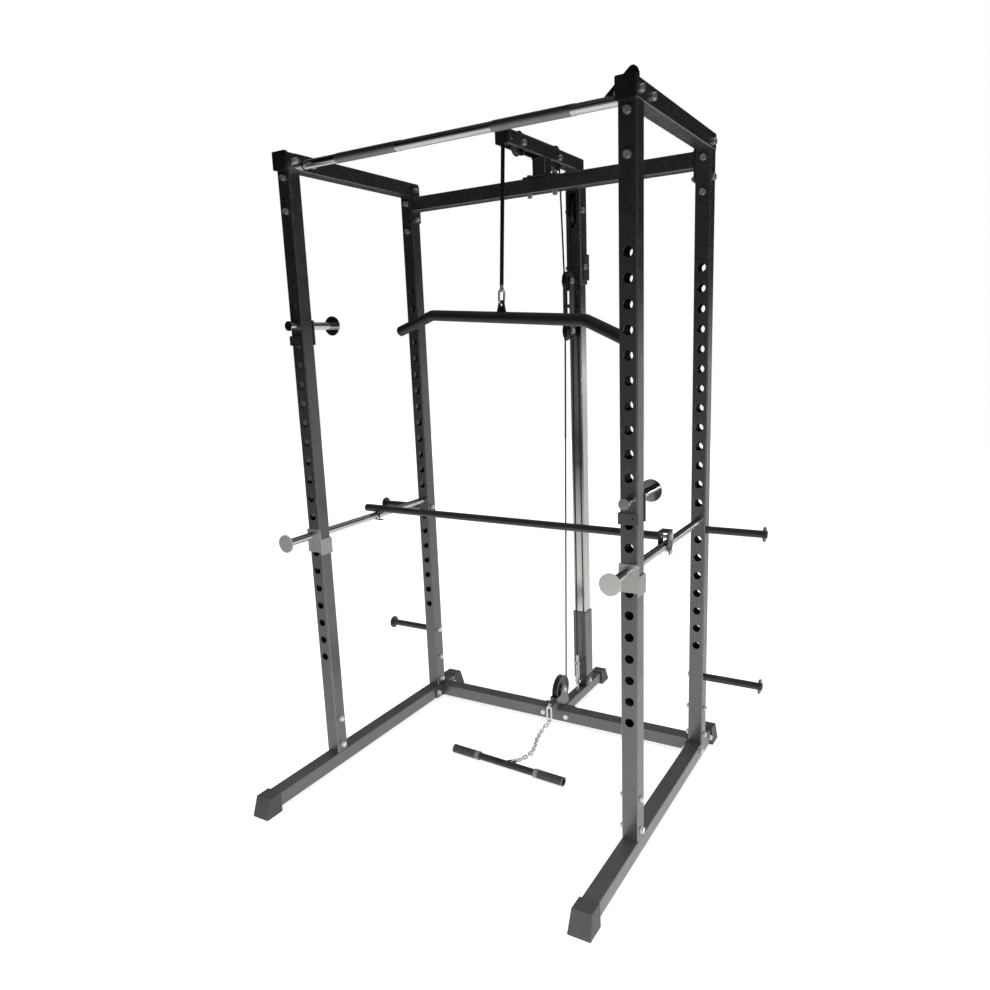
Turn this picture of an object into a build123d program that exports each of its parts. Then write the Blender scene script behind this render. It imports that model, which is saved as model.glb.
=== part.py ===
from build123d import *
from math import atan2, cos, hypot, pi, radians, sin
import os

# Power cage with a plate-loaded lat and low-row tower, in millimetres.
# x runs to the right, y to the back, z up. The origin is on the floor, midway
# between the front feet's tips and the tower foot's tip, on the middle plane.

os.makedirs("parts", exist_ok=True)

# ---------------------------------------------------------------- tubes
tube = 50.0
tube_wall = 2.5
tube_corner = 4.0
slim_tube = 40.0
arm_tube = 46.0
post_tube = 60.0
post_wall = 3.0
plate = 5.0
slip = 0.3

# ---------------------------------------------------------------- cage
column_spacing = 1136.0
cage_depth = 645.0
upright_length = 1988.0
sole = 12.0
front_beam_reach = 338.0
rear_beam_reach = 165.0
rear_reach = 1156.0
top_beam_overhang = 10.0
foot_wall = 4.0
foot_tip_slope = 21.0

# ---------------------------------------------------------------- holes
hole_radius = 13.0
hole_pitch = 63.5
hole_count = 21
lowest_hole = 430.0

# ---------------------------------------------------------------- fasteners
bolt_radius = 5.0
bolt_play = 0.4
bolt_flats = 17.0
head_height = 6.4
nut_height = 8.0
nut_play = 0.05
washer_radius = 10.5
washer_thickness = 2.0
bolt_tail = 3.0

# ---------------------------------------------------------------- derived frame
column_x = column_spacing / 2
inner_x = column_x - tube / 2
outer_x = column_x + tube / 2
front_reach = front_beam_reach + foot_wall + foot_tip_slope
front_y = (front_reach - rear_reach) / 2
rear_y = front_y + cage_depth
front_axis_y = front_y + tube / 2
rear_axis_y = rear_y + tube / 2
beam_z = sole + tube / 2
beam_top = sole + tube
upright_top = beam_top + upright_length
cage_top = upright_top + tube
beam_front_y = front_y - front_beam_reach
beam_rear_y = rear_y + rear_beam_reach
beam_length = beam_rear_y - beam_front_y
top_beam_front_y = front_y - top_beam_overhang
top_beam_length = rear_y + tube - top_beam_front_y
bolt_hole = bolt_radius + bolt_play
sides = (("left", -1), ("right", 1))
rows = (("front", front_axis_y), ("rear", rear_axis_y))


# ================================================================ helpers
def facing_right(x, y, z):
    """Plane whose local axes are +y and +z, looking along +x."""
    return Plane(origin=(x, y, z), x_dir=(0, 1, 0), z_dir=(1, 0, 0))


def facing_front(x, y, z):
    """Plane whose local axes are +x and +z, looking along -y."""
    return Plane(origin=(x, y, z), x_dir=(1, 0, 0), z_dir=(0, -1, 0))


def facing_back(x, y, z):
    """Plane whose first local axis is +x, looking along +y."""
    return Plane(origin=(x, y, z), x_dir=(1, 0, 0), z_dir=(0, 1, 0))


def facing_up(x, y, z):
    return Plane(origin=(x, y, z), x_dir=(1, 0, 0), z_dir=(0, 0, 1))


def tube_outline(side, wall):
    """Hollow square with rounded corners, drawn in the open sketch."""
    RectangleRounded(side, side, tube_corner)
    RectangleRounded(side - 2 * wall, side - 2 * wall, tube_corner - wall, mode=Mode.SUBTRACT)


def rod(start, end, radius, mode=Mode.ADD):
    """Round bar between two points, in the open part."""
    run = Vector(*end) - Vector(*start)
    with BuildSketch(Plane(origin=start, z_dir=run)) as section:
        Circle(radius)
    extrude(section.sketch, amount=run.length, mode=mode)


def drill(start, end, radius):
    rod(start, end, radius, mode=Mode.SUBTRACT)


def block(low, high, mode=Mode.ADD):
    """Box between two opposite corners, in the open part."""
    size = [b - a for a, b in zip(low, high)]
    centre = [(a + b) / 2 for a, b in zip(low, high)]
    with BuildSketch(facing_up(centre[0], centre[1], low[2])) as section:
        Rectangle(size[0], size[1])
    extrude(section.sketch, amount=size[2], mode=mode)


def slab(plane, points, thickness, corner=0.0, mode=Mode.ADD):
    """Plate with a polygonal outline and rounded corners, in the open part."""
    with BuildSketch(plane) as section:
        with BuildLine():
            Polyline(*points, close=True)
        make_face()
        if corner:
            fillet(section.vertices(), corner)
    extrude(section.sketch, amount=thickness, mode=mode)


def hexagon(point, direction, height, bore=0.0):
    """Bolt head or nut standing on a point, in the open part."""
    with BuildSketch(Plane(origin=point, z_dir=direction)) as section:
        RegularPolygon(bolt_flats / 2, 6, major_radius=False)
        if bore:
            Circle(bore, mode=Mode.SUBTRACT)
    extrude(section.sketch, amount=height)


def washer(point, direction):
    with BuildSketch(Plane(origin=point, z_dir=direction)) as section:
        Circle(washer_radius)
        Circle(bolt_hole, mode=Mode.SUBTRACT)
    extrude(section.sketch, amount=washer_thickness)


def moved(point, direction, distance):
    return tuple(p + d * distance for p, d in zip(point, direction))


def opposite(direction):
    return tuple(-d for d in direction)


def finish(part, name):
    part.label = name
    export_step(part, f"parts/{name}.step")


# ================================================================ bolted joints
# Each is the point on the face under the bolt's head, the shank's direction and
# the thickness that the bolt clamps.
bolted_joints = []

spigot_length = 155.0
spigot_wall = 3.0
spigot_bolt_low = 25.0
spigot_bolt_gap = 100.0
top_bolt_low = 24.0
base_bolt_zs = (beam_top + spigot_bolt_low, beam_top + spigot_bolt_low + spigot_bolt_gap)
top_bolt_zs = (upright_top - top_bolt_low, upright_top - top_bolt_low - spigot_bolt_gap)

for side, sign in sides:
    for row, y in rows:
        for z in base_bolt_zs:
            bolted_joints.append(((sign * outer_x, y, z), (-sign, 0, 0), tube))
        for z in top_bolt_zs:
            bolted_joints.append(((sign * column_x, y - tube / 2, z), (0, 1, 0), tube))

# Pull-up bar's end plates, on the inner faces of the top beams.
pull_up_y = front_y + 70.0
pull_up_z = upright_top + 20.0
pull_up_bolt_gap = 86.0
pull_up_bolt_ys = (pull_up_y - pull_up_bolt_gap / 2, pull_up_y + pull_up_bolt_gap / 2)
pull_up_bolt_z = upright_top + tube / 2

# Upper rear cross beam, whose end plates span the top beam and the upright.
upper_cross_z = upright_top - 28.0
upper_plate_bolt_zs = (upright_top + 22.0, upright_top - 81.0)

# Lower rear cross beam.
lower_cross_y = rear_y + 47.0
lower_plate_bolt_gap = 116.0
lower_plate_bolt_ys = (
    lower_cross_y - lower_plate_bolt_gap / 2,
    lower_cross_y + lower_plate_bolt_gap / 2,
)

for side, sign in sides:
    for y in pull_up_bolt_ys:
        bolted_joints.append(((sign * outer_x, y, pull_up_bolt_z), (-sign, 0, 0), tube + plate))
    for z in upper_plate_bolt_zs:
        bolted_joints.append(((sign * outer_x, rear_axis_y, z), (-sign, 0, 0), tube + plate))
    for y in lower_plate_bolt_ys:
        bolted_joints.append(((sign * outer_x, y, beam_z), (-sign, 0, 0), tube + plate))

# Lat arm's foot plate on the upper cross beam, tower base's flange behind the lower one.
arm_plate_bolt_x = 49.0
arm_plate_top = upper_cross_z + tube / 2 + plate
base_flange_bolt_x = 50.0
lower_cross_front = lower_cross_y - tube / 2
lower_cross_rear = lower_cross_y + tube / 2
for sign in (-1, 1):
    head = (sign * arm_plate_bolt_x, rear_axis_y, arm_plate_top)
    bolted_joints.append((head, (0, 0, -1), tube + plate))
    head = (sign * base_flange_bolt_x, lower_cross_front, beam_z)
    bolted_joints.append((head, (0, 1, 0), tube + plate))

# Tower: the guide tube is bolted to its spigot at the foot and to the post at the top.
tower_y = rear_axis_y + 280.0
guide_bottom = sole + slim_tube
guide_bolt_z = guide_bottom + 24.0
clamp_thickness = 3.0
post_bottom = cage_top - 400.0
guide_top = post_bottom + 140.0
clamp_low = post_bottom + 16.0
clamp_height = 95.0
clamp_bolt_z = clamp_low + clamp_height / 2
clamp_half = post_tube / 2 + clamp_thickness
bolted_joints.append(((tube / 2, tower_y, guide_bolt_z), (-1, 0, 0), tube))
bolted_joints.append(((clamp_half, tower_y, clamp_bolt_z), (-1, 0, 0), 2 * clamp_half))

# Storage pegs are held by bolts that screw into them from inside the cage.
peg_zs = (lowest_hole + 6.5 * hole_pitch, lowest_hole - 122.0)
peg_thread = 20.0
peg_fixings = []
for side, sign in sides:
    for z in peg_zs:
        peg_fixings.append(((sign * inner_x, rear_axis_y, z), (sign, 0, 0)))


# ================================================================ frame
for side, sign in sides:
    x = sign * column_x
    with BuildPart() as base_beam:
        with BuildSketch(facing_back(x, beam_front_y, beam_z)):
            tube_outline(tube, tube_wall)
        extrude(amount=beam_length)
        for y in lower_plate_bolt_ys:
            drill((x - tube, y, beam_z), (x + tube, y, beam_z), bolt_hole)
    finish(base_beam.part, f"base_beam_{side}")

    with BuildPart() as top_beam:
        with BuildSketch(facing_back(x, top_beam_front_y, cage_top - tube / 2)):
            tube_outline(tube, tube_wall)
        extrude(amount=top_beam_length)
        for y in pull_up_bolt_ys:
            drill((x - tube, y, pull_up_bolt_z), (x + tube, y, pull_up_bolt_z), bolt_hole)
        z = upper_plate_bolt_zs[0]
        drill((x - tube, rear_axis_y, z), (x + tube, rear_axis_y, z), bolt_hole)
    finish(top_beam.part, f"top_beam_{side}")

    for row, y in rows:
        with BuildPart() as upright:
            with BuildSketch(facing_up(x, y, beam_top)):
                tube_outline(tube, tube_wall)
            extrude(amount=upright_length)
            middle = lowest_hole + hole_pitch * (hole_count - 1) / 2
            with BuildSketch(facing_front(x, y + tube, middle)):
                with GridLocations(hole_pitch, hole_pitch, 1, hole_count):
                    Circle(hole_radius)
            extrude(amount=2 * tube, mode=Mode.SUBTRACT)
            for z in base_bolt_zs:
                drill((x - tube, y, z), (x + tube, y, z), bolt_hole)
            for z in top_bolt_zs:
                drill((x, y - tube, z), (x, y + tube, z), bolt_hole)
            if row == "rear":
                for z in (upper_plate_bolt_zs[1],) + peg_zs:
                    drill((x - tube, y, z), (x + tube, y, z), bolt_hole)
        finish(upright.part, f"upright_{row}_{side}")

# Spigots join the uprights to the beams, and the guide tube to the tower base.
spigot_side = tube - 2 * tube_wall - 2 * slip
guide_spigot_length = 110.0
with BuildPart() as spigots:
    for side, sign in sides:
        x = sign * column_x
        for row, y in rows:
            for foot_z in (beam_top, upright_top - spigot_length):
                with BuildSketch(facing_up(x, y, foot_z)):
                    tube_outline(spigot_side, spigot_wall)
                extrude(amount=spigot_length)
            for z in base_bolt_zs:
                drill((x - tube, y, z), (x + tube, y, z), bolt_hole)
            for z in top_bolt_zs:
                drill((x, y - tube, z), (x, y + tube, z), bolt_hole)
            if row == "rear":
                z = upper_plate_bolt_zs[1]
                drill((x - tube, y, z), (x + tube, y, z), bolt_hole)
    with BuildSketch(facing_up(0, tower_y, guide_bottom)):
        tube_outline(spigot_side, spigot_wall)
    extrude(amount=guide_spigot_length)
    drill((-tube, tower_y, guide_bolt_z), (tube, tower_y, guide_bolt_z), bolt_hole)
finish(spigots.part, "spigots")

# ---------------------------------------------------------------- pull-up bar
pull_up_radius = 14.0
grip_radius = 15.0
grip_inner = 157.0
grip_outer = 401.0
pull_up_plate_length = 120.0
pull_up_plate_height = 46.0
gusset_plate = 5.0
with BuildPart() as pull_up_bar:
    rod((-inner_x, pull_up_y, pull_up_z), (inner_x, pull_up_y, pull_up_z), pull_up_radius)
    for sign in (-1, 1):
        start = (sign * grip_inner, pull_up_y, pull_up_z)
        rod(start, (sign * grip_outer, pull_up_y, pull_up_z), grip_radius)
        with BuildSketch(facing_right(sign * (inner_x - plate / 2), pull_up_y, pull_up_bolt_z)):
            SlotOverall(pull_up_plate_length, pull_up_plate_height)
        extrude(amount=plate / 2, both=True)
        for y in pull_up_bolt_ys:
            tip = (sign * (inner_x + tube), y, pull_up_bolt_z)
            drill((sign * (inner_x - tube), y, pull_up_bolt_z), tip, bolt_hole)
    # Gusset between the bar and the right top beam.
    slab(
        facing_front(0, pull_up_y + gusset_plate / 2, 0),
        (
            (inner_x - 68.0, pull_up_z + 9.0),
            (inner_x + 4.0, cage_top + 41.0),
            (inner_x + 9.0, cage_top + 44.0),
            (inner_x + 17.0, cage_top + 44.0),
            (inner_x + 25.0, cage_top + 38.0),
            (inner_x + 30.0, cage_top + 26.0),
            (inner_x + 30.0, cage_top + slip),
            (inner_x - plate / 2, cage_top + slip),
            (inner_x - plate / 2, pull_up_z),
            (inner_x - 60.0, pull_up_z),
        ),
        gusset_plate,
    )
finish(pull_up_bar.part, "pull_up_bar")

# ---------------------------------------------------------------- rear cross beams
end_margin = 13.0
beam_inner_x = inner_x - plate
with BuildPart() as rear_cross_upper:
    with BuildSketch(facing_right(-beam_inner_x, rear_axis_y, upper_cross_z)):
        tube_outline(tube, tube_wall)
    extrude(amount=2 * beam_inner_x)
    plate_low = upper_plate_bolt_zs[1] - end_margin
    plate_high = upper_plate_bolt_zs[0] + end_margin + plate
    for sign in (-1, 1):
        middle = (plate_low + plate_high) / 2
        with BuildSketch(facing_right(sign * (inner_x - plate / 2), rear_axis_y, middle)):
            RectangleRounded(tube, plate_high - plate_low, tube_corner)
        extrude(amount=plate / 2, both=True)
        for z in upper_plate_bolt_zs:
            tip = (sign * (inner_x + tube), rear_axis_y, z)
            drill((sign * (inner_x - 3 * plate), rear_axis_y, z), tip, bolt_hole)
        bolt_x = sign * arm_plate_bolt_x
        drill((bolt_x, rear_axis_y, upper_cross_z - tube), (bolt_x, rear_axis_y, cage_top), bolt_hole)
finish(rear_cross_upper.part, "rear_cross_upper")

with BuildPart() as rear_cross_lower:
    with BuildSketch(facing_right(-beam_inner_x, lower_cross_y, beam_z)):
        tube_outline(tube, tube_wall)
    extrude(amount=2 * beam_inner_x)
    plate_length = lower_plate_bolt_gap + 2 * end_margin
    for sign in (-1, 1):
        with BuildSketch(facing_right(sign * (inner_x - plate / 2), lower_cross_y, beam_z)):
            RectangleRounded(plate_length, tube, tube_corner)
        extrude(amount=plate / 2, both=True)
        for y in lower_plate_bolt_ys:
            drill((sign * (inner_x - 3 * plate), y, beam_z), (sign * outer_x, y, beam_z), bolt_hole)
        bolt_x = sign * base_flange_bolt_x
        drill((bolt_x, lower_cross_y - tube, beam_z), (bolt_x, lower_cross_y + tube, beam_z), bolt_hole)
finish(rear_cross_lower.part, "rear_cross_lower")


# ---------------------------------------------------------------- feet and caps
foot_flare = 4.0
foot_grip = 50.0
foot_edge = 2.0


def shoe(x, beam_end, back, side):
    """Plastic shoe over a beam's end, made alone; back is +1 where the beam points back."""
    top = sole + side + foot_wall
    top_end = beam_end + back * foot_wall
    low_end = top_end + back * foot_tip_slope
    low_start = top_end - back * (foot_grip - foot_flare)
    top_start = top_end - back * foot_grip
    half_top = side / 2 + foot_wall
    half_low = half_top + foot_flare
    with BuildPart() as body:
        with BuildSketch(Plane.XY):
            with Locations((x, (low_start + low_end) / 2)):
                Rectangle(2 * half_low, abs(low_end - low_start))
        with BuildSketch(Plane.XY.offset(top)):
            with Locations((x, (top_start + top_end) / 2)):
                Rectangle(2 * half_top, abs(top_end - top_start))
        loft()
        fillet(body.edges().filter_by(Axis.Z, reverse=True).group_by(Axis.Z)[-1], foot_edge)
        with BuildSketch(facing_back(x, beam_end, sole + side / 2)):
            RectangleRounded(side, side, tube_corner)
        extrude(amount=-back * 2 * foot_grip, mode=Mode.SUBTRACT)
    return body.part


for row, end_y, back in (("front", beam_front_y, -1), ("rear", beam_rear_y, 1)):
    pair = [shoe(sign * column_x, end_y, back, tube) for side, sign in sides]
    with BuildPart() as feet:
        add(pair)
    finish(feet.part, f"feet_{row}")

tower_beam_end = front_y + rear_reach - foot_tip_slope - foot_wall
finish(shoe(0, tower_beam_end, 1, slim_tube), "foot_tower")

# ---------------------------------------------------------------- storage pegs
peg_radius = 12.5
peg_length = 191.0
peg_ring_radius = 25.0
peg_ring = 5.0
peg_tip = 6.0
with BuildPart() as storage_pegs:
    for side, sign in sides:
        for z in peg_zs:
            root = (sign * outer_x, rear_axis_y, z)
            out = (sign, 0, 0)
            rod(root, moved(root, out, peg_length + peg_tip), peg_radius)
            rod(moved(root, out, peg_length - peg_ring), moved(root, out, peg_length), peg_ring_radius)
            drill(root, moved(root, out, peg_thread + bolt_tail), bolt_radius + nut_play)
finish(storage_pegs.part, "storage_pegs")

# ---------------------------------------------------------------- lat arm and end caps
cap_end = 3.0
cap_sleeve = 2.5
cap_plug = 12.0
arm_plug = 2.0
cap_back_off = 1.0
arm_reach_front = 254.0
arm_reach_rear = 330.0
arm_front_y = rear_y - arm_reach_front
arm_rear_y = rear_y + arm_reach_rear
arm_z = cage_top + 30.0
arm_low = arm_z - arm_tube / 2
pulley_slot = 24.0
front_rim = 38.0
rear_rim = 42.0
block_rim = 36.0
large_rim = 57.0
cable_radius = 2.5
front_path = 35.0
rear_path = 39.0
block_path = 33.0
large_path = 52.0
roller_rim = 19.5
roller_path = 17.0
front_wheel = (arm_front_y + 109.0, arm_z - 3.5)
rear_wheel = (arm_rear_y - 204.0, arm_z - 5.0)
nose_wheel = (arm_front_y + 26.0, arm_z - 7.0)
arm_plate_length = 130.0
slot_margin = 4.0
with BuildPart() as lat_arm:
    with BuildSketch(facing_back(0, arm_front_y + cap_end, arm_z)):
        tube_outline(arm_tube, tube_wall)
    extrude(amount=arm_rear_y - arm_front_y - 2 * cap_end)
    with BuildSketch(facing_up(0, rear_axis_y, arm_plate_top)):
        tube_outline(tube, tube_wall)
    extrude(amount=arm_low - arm_plate_top)
    with BuildSketch(facing_up(0, rear_axis_y, arm_plate_top - plate)):
        RectangleRounded(arm_plate_length, tube, tube_corner)
    extrude(amount=plate)
    for sign in (-1, 1):
        bolt_x = sign * arm_plate_bolt_x
        drill((bolt_x, rear_axis_y, upper_cross_z), (bolt_x, rear_axis_y, arm_low), bolt_hole)
    for y, z in (front_wheel, rear_wheel, nose_wheel):
        drill((-arm_tube, y, z), (arm_tube, y, z), bolt_hole)
    half = pulley_slot / 2
    nose = arm_front_y + cap_end + arm_plug
    top_slots = (
        (nose_wheel[0], front_wheel[0] + front_rim + slot_margin),
        (rear_wheel[0] - rear_rim, rear_wheel[0] + rear_rim + slot_margin),
    )
    low_slots = (
        (nose, rear_axis_y - tube / 2 - slot_margin),
        (rear_wheel[0] - rear_rim, rear_wheel[0] + rear_rim + slot_margin),
    )
    for low_y, high_y in top_slots:
        block((-half, low_y, arm_z), (half, high_y, arm_z + arm_tube), Mode.SUBTRACT)
    for low_y, high_y in low_slots:
        block((-half, low_y, arm_z - arm_tube), (half, high_y, arm_z), Mode.SUBTRACT)
finish(lat_arm.part, "lat_arm")

with BuildPart() as beam_end_caps:
    for side, sign in sides:
        x = sign * column_x
        z = cage_top - tube / 2
        with BuildSketch(facing_back(x, top_beam_front_y - cap_end, z)):
            RectangleRounded(tube + 2 * cap_sleeve, tube + 2 * cap_sleeve, tube_corner)
        extrude(amount=top_beam_overhang + cap_end - cap_back_off)
        with BuildSketch(facing_back(x, top_beam_front_y, z)):
            RectangleRounded(tube, tube, tube_corner)
        extrude(amount=top_beam_overhang, mode=Mode.SUBTRACT)
        with BuildSketch(facing_back(x, rear_y + tube, z)):
            RectangleRounded(tube, tube, tube_corner)
        extrude(amount=cap_end)
        with BuildSketch(facing_back(x, rear_y + tube - cap_plug, z)):
            RectangleRounded(tube - 2 * tube_wall - slip, tube - 2 * tube_wall - slip, 1.0)
        extrude(amount=cap_plug)
    for y, outward in ((arm_front_y + cap_end, -1), (arm_rear_y - cap_end, 1)):
        with BuildSketch(facing_back(0, y, arm_z)):
            RectangleRounded(arm_tube, arm_tube, tube_corner)
        extrude(amount=outward * cap_end)
        with BuildSketch(facing_back(0, y, arm_z)):
            inner = arm_tube - 2 * tube_wall - slip
            RectangleRounded(inner, inner, 1.0)
        extrude(amount=-outward * arm_plug)
finish(beam_end_caps.part, "beam_end_caps")

# ---------------------------------------------------------------- tower
top_wheel = (tower_y - 5.0, cage_top - 132.0)
post_slot_half = large_rim + slot_margin
with BuildPart() as tower_post:
    with BuildSketch(facing_up(0, tower_y, post_bottom)):
        tube_outline(post_tube, post_wall)
    extrude(amount=arm_low - post_bottom)
    with BuildSketch(facing_up(0, tower_y, arm_low - post_wall)):
        RectangleRounded(post_tube, post_tube, tube_corner)
    extrude(amount=post_wall)
    low = (-pulley_slot / 2, tower_y - post_tube, top_wheel[1] - post_slot_half)
    high = (pulley_slot / 2, tower_y + post_tube, top_wheel[1] + post_slot_half)
    block(low, high, Mode.SUBTRACT)
    drill((-post_tube, *top_wheel), (post_tube, *top_wheel), bolt_hole)
    drill((-post_tube, tower_y, clamp_bolt_z), (post_tube, tower_y, clamp_bolt_z), bolt_hole)
finish(tower_post.part, "tower_post")

with BuildPart() as guide_tube:
    with BuildSketch(facing_up(0, tower_y, guide_bottom)):
        tube_outline(tube, tube_wall)
    extrude(amount=guide_top - guide_bottom)
    for z in (guide_bolt_z, clamp_bolt_z):
        drill((-tube, tower_y, z), (tube, tower_y, z), bolt_hole)
finish(guide_tube.part, "guide_tube")

clamp_stand_off = 8.0
with BuildPart() as guide_clamp:
    inside = post_tube / 2 + slip / 10
    back = tower_y + post_tube / 2 + clamp_stand_off
    block(
        (-clamp_half, tower_y - 8.0, clamp_low),
        (clamp_half, back + clamp_thickness, clamp_low + clamp_height),
    )
    block((-inside, tower_y - tube, clamp_low), (inside, back, cage_top), Mode.SUBTRACT)
    drill((-post_tube, tower_y, clamp_bolt_z), (post_tube, tower_y, clamp_bolt_z), bolt_hole)
finish(guide_clamp.part, "guide_clamp")

bumper_height = 12.0
bumper_low = 95.0
with BuildPart() as tower_bumper:
    with BuildSketch(facing_up(0, tower_y, bumper_low)):
        RectangleRounded(post_tube, post_tube, tube_corner)
        RectangleRounded(tube, tube, tube_corner, mode=Mode.SUBTRACT)
    extrude(amount=bumper_height)
finish(tower_bumper.part, "tower_bumper")

base_flange_length = 130.0
with BuildPart() as tower_base:
    with BuildSketch(facing_back(0, lower_cross_rear + plate, sole + slim_tube / 2)):
        tube_outline(slim_tube, tube_wall)
    extrude(amount=tower_beam_end - lower_cross_rear - plate)
    with BuildSketch(facing_back(0, lower_cross_rear, beam_z)):
        RectangleRounded(base_flange_length, tube, tube_corner)
    extrude(amount=plate)
    for sign in (-1, 1):
        bolt_x = sign * base_flange_bolt_x
        drill((bolt_x, lower_cross_y, beam_z), (bolt_x, lower_cross_y + tube, beam_z), bolt_hole)
finish(tower_base.part, "tower_base")

# ---------------------------------------------------------------- low pulley
low_wheel = (rear_y + 80.0, sole + tube + large_rim + 3.0)
wheel_width = 20.0
bracket_gap = 25.0
bracket_plate = 3.0
keeper_y = low_wheel[0] - large_rim - 6.0
keeper_z = sole + tube + 30.0
keeper_slot = 8.0
with BuildPart() as low_pulley_bracket:
    axle_y, axle_z = low_wheel
    for sign in (-1, 1):
        start = bracket_gap / 2 if sign > 0 else -bracket_gap / 2 - bracket_plate
        side_outline = (
            (lower_cross_rear + plate, guide_bottom),
            (axle_y + 42.0, guide_bottom),
            (axle_y + 36.0, axle_z - 20.0),
            (axle_y + 16.0, axle_z + 20.0),
            (axle_y - 16.0, axle_z + 20.0),
            (axle_y - 30.0, axle_z - 12.0),
            (keeper_y - bracket_plate, axle_z - 12.0),
            (keeper_y - bracket_plate, beam_top),
            (lower_cross_rear + plate, beam_top),
        )
        slab(facing_right(start, 0, 0), side_outline, bracket_plate)
        drill((sign * bracket_gap, axle_y, axle_z), (0, axle_y, axle_z), bolt_hole)
    half = bracket_gap / 2
    block((-half, keeper_y - bracket_plate, beam_top), (half, keeper_y, axle_z - 12.0))
    drill((0, keeper_y - tube, keeper_z), (0, keeper_y + bracket_plate, keeper_z), keeper_slot / 2)
finish(low_pulley_bracket.part, "low_pulley_bracket")


# ================================================================ pulleys
running_fit = 0.06
groove_play = 0.4
hub_radius = 13.0
web_recess = 4.0


def wheel(name, centre, rim, path_radius, width, recessed=True):
    """Grooved wheel on an axle along x; path_radius is where the cable's centre runs."""
    y, z = centre
    bore = bolt_radius + running_fit
    groove = path_radius - cable_radius - groove_play
    outline = [(-width / 2, bore), (-width / 2, rim), (-width / 2 + 1.5, rim)]
    outline += [(-cable_radius - groove_play, groove), (cable_radius + groove_play, groove)]
    outline += [(width / 2 - 1.5, rim), (width / 2, rim), (width / 2, bore)]
    with BuildPart() as body:
        with BuildSketch(facing_front(0, y, z)):
            with BuildLine():
                Polyline(*outline, close=True)
            make_face()
            if recessed:
                for sign in (-1, 1):
                    with BuildLine():
                        Polyline(
                            (sign * width / 2, hub_radius),
                            (sign * (width / 2 - web_recess), hub_radius + web_recess / 2),
                            (sign * (width / 2 - web_recess), groove - 2 * web_recess),
                            (sign * width / 2, groove - web_recess),
                            close=True,
                        )
                    make_face(mode=Mode.SUBTRACT)
        revolve(axis=Axis((0, y, z), (1, 0, 0)))
    finish(body.part, name)


block_drop = 390.0
block_top_wheel = (arm_rear_y - 106.0, cage_top - block_drop)
block_low_wheel = (block_top_wheel[0] - 2.0, block_top_wheel[1] - 183.0)
wheel("pulley_arm_front", front_wheel, front_rim, front_path, wheel_width)
wheel("pulley_arm_rear", rear_wheel, rear_rim, rear_path, wheel_width)
wheel("pulley_nose", nose_wheel, roller_rim, roller_path, wheel_width, recessed=False)
wheel("pulley_tower_top", top_wheel, large_rim, large_path, wheel_width)
wheel("pulley_low", low_wheel, large_rim, large_path, wheel_width)
wheel("pulley_block_top", block_top_wheel, block_rim, block_path, wheel_width)
wheel("pulley_block_low", block_low_wheel, block_rim, block_path, wheel_width)

# Floating block: two straps, a spacer between the wheels and an axle through each wheel.
strap_gap = 24.0
strap_plate = 3.0
strap_half = 17.0
spacer_radius = 7.0
with BuildPart() as block_straps:
    top_y, top_z = block_top_wheel
    low_y, low_z = block_low_wheel
    lean = atan2(top_z - low_z, top_y - low_y) * 180 / pi
    length = hypot(top_y - low_y, top_z - low_z)
    spacer = ((top_y + low_y) / 2, (top_z + low_z) / 2)
    for start in (strap_gap / 2, -strap_gap / 2 - strap_plate):
        with BuildSketch(facing_right(start, *spacer)):
            SlotCenterToCenter(length, 2 * strap_half, rotation=lean)
        extrude(amount=strap_plate)
    rod((-strap_gap / 2, *spacer), (strap_gap / 2, *spacer), spacer_radius)
    for y, z in (block_top_wheel, block_low_wheel):
        drill((-tube, y, z), (tube, y, z), bolt_hole)
finish(block_straps.part, "block_straps")


def axle(y, z, half_grip):
    """Hex bolt through a wheel, head at +x and nut at -x."""
    head = (half_grip, y, z)
    rod((half_grip, y, z), (-half_grip - nut_height - bolt_tail, y, z), bolt_radius)
    hexagon(head, (1, 0, 0), head_height)
    hexagon((-half_grip, y, z), (-1, 0, 0), nut_height)


with BuildPart() as block_axles:
    for y, z in (block_top_wheel, block_low_wheel):
        axle(y, z, strap_gap / 2 + strap_plate)
finish(block_axles.part, "block_axles")

with BuildPart() as pulley_axles:
    for y, z in (front_wheel, rear_wheel):
        axle(y, z, arm_tube / 2)
    rod((-arm_tube / 2, *nose_wheel), (arm_tube / 2, *nose_wheel), bolt_radius)
    axle(*top_wheel, post_tube / 2)
    axle(*low_wheel, bracket_gap / 2 + bracket_plate)
finish(pulley_axles.part, "pulley_axles")


# ================================================================ cables
def tangent(first, second):
    """Where a taut cable leaves one wheel and meets the next.

    A wheel is (y, z, radius, turn); turn is +1 where the cable goes round it
    anticlockwise, seen from +x, and -1 where it goes round clockwise.
    """
    (y1, z1, r1, turn1), (y2, z2, r2, turn2) = first, second
    gap = hypot(y2 - y1, z2 - z1)
    rise = turn2 * r2 - turn1 * r1
    heading = atan2(z2 - z1, y2 - y1) - atan2(rise, (gap**2 - rise**2) ** 0.5)
    normal = (-sin(heading), cos(heading))
    leave = (y1 - turn1 * r1 * normal[0], z1 - turn1 * r1 * normal[1])
    meet = (y2 - turn2 * r2 * normal[0], z2 - turn2 * r2 * normal[1])
    return leave, meet


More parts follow.
